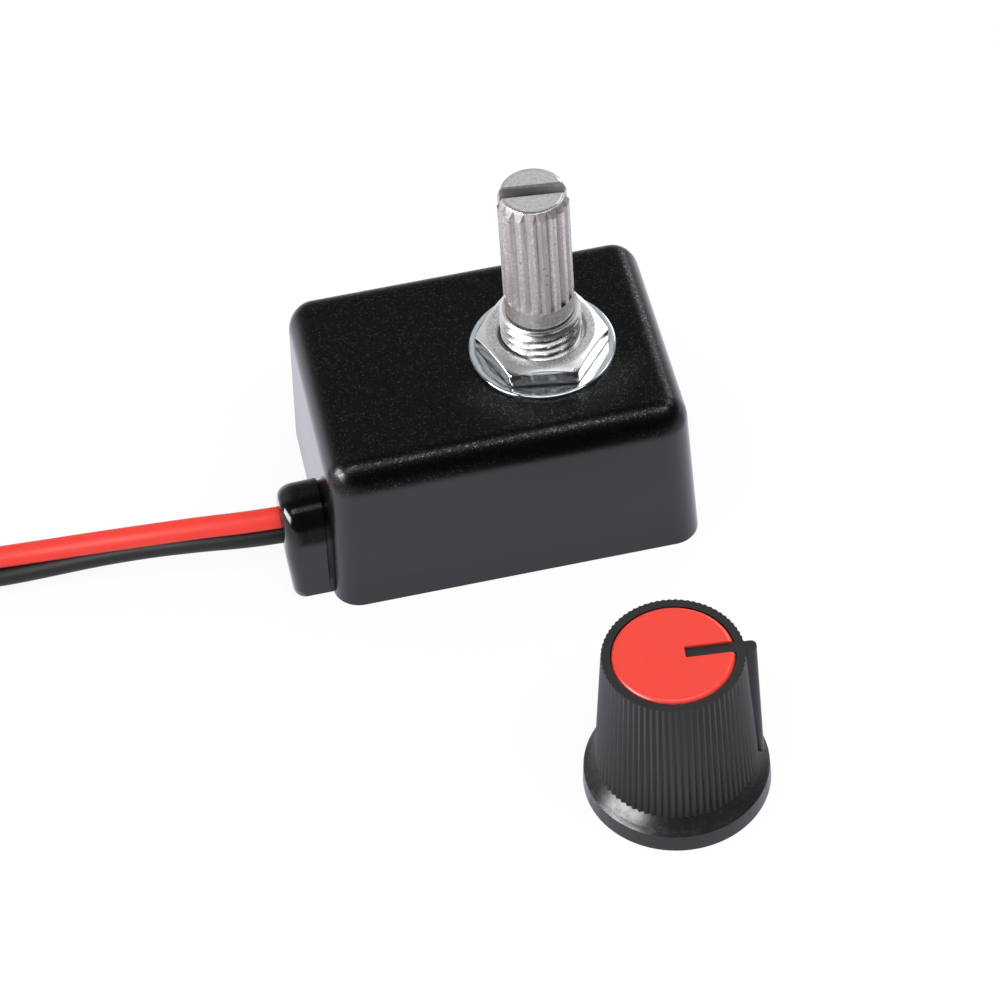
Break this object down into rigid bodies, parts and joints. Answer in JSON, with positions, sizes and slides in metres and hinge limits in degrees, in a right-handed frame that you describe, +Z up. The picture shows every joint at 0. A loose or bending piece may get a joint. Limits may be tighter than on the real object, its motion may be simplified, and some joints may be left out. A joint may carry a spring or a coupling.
{
  "type": "rotary led dimmer",
  "caption": "Rotary dimmer: a moulded case round a potentiometer with a knurled slotted shaft, bush, washer and nut, stacked leads from a side gland, and a loose ribbed knob with a red cap.",
  "frame": {"origin": "middle of the case's underside", "axes": "+X along the case from the gland towards the shaft's end, +Y away from the knob, +Z up along the shaft"},
  "size_m": [0.086, 0.0679, 0.0345],
  "materials": {
    "case_plastic": "fine spark-eroded texture on the top, smooth drafted sides",
    "cover_plastic": "smooth moulded",
    "gland_plastic": "smooth satin",
    "bush_metal": "bright plated, turned",
    "nut_metal": "bright plated, tumbled",
    "washer_metal": "bright plated, stamped",
    "shaft_metal": "satin turned with scuffs",
    "clip_metal": "oiled spring steel",
    "can_metal": "tinned, drawn",
    "board": "phenolic paper board",
    "carbon": "printed carbon",
    "terminal_metal": "silvered, stamped",
    "eyelet_metal": "bright, rolled",
    "rotor_plastic": "natural nylon",
    "wiper_metal": "sprung phosphor bronze",
    "knob_plastic": "satin ribs, glossier skirt",
    "cap_plastic": "satin",
    "red_insulation": "satin extruded",
    "black_insulation": "satin extruded",
    "strands": "tinned copper",
    "solder": "bright flowed",
    "tie_plastic": "smooth band"
  },
  "bodies": {
    "case": {"housing": "case_plastic", "base_cover": "cover_plastic", "wire_gland": "gland_plastic", "pot_bush": "bush_metal", "bush_nut": "nut_metal", "bush_washer": "washer_metal", "pot_can": "can_metal", "track_wafer": "board", "carbon_track": "carbon", "terminal_low": "terminal_metal", "terminal_wiper": "terminal_metal", "terminal_high": "terminal_metal", "terminal_eyelets": "eyelet_metal", "knob_body": "knob_plastic", "knob_cap": "cap_plastic", "red_inner_lead": "red_insulation", "black_inner_lead": "black_insulation", "solder_joints": "solder", "red_wire": "red_insulation", "black_wire": "black_insulation", "red_coil": "red_insulation", "black_coil": "black_insulation", "red_tip": "strands", "black_tip": "strands", "coil_tie": "tie_plastic"},
    "shaft": {"shaft": "shaft_metal", "rotor": "rotor_plastic", "wiper": "wiper_metal", "retaining_clip": "clip_metal"}
  },
  "joints": [
    {"name": "shaft_turn", "type": "hinge", "parent": "case", "child": "shaft", "pos_m": [0.005, -0.0007, 0.0145], "axis": [0, 0, 1], "range_deg": [-143.5, 156.5]}
  ]
}
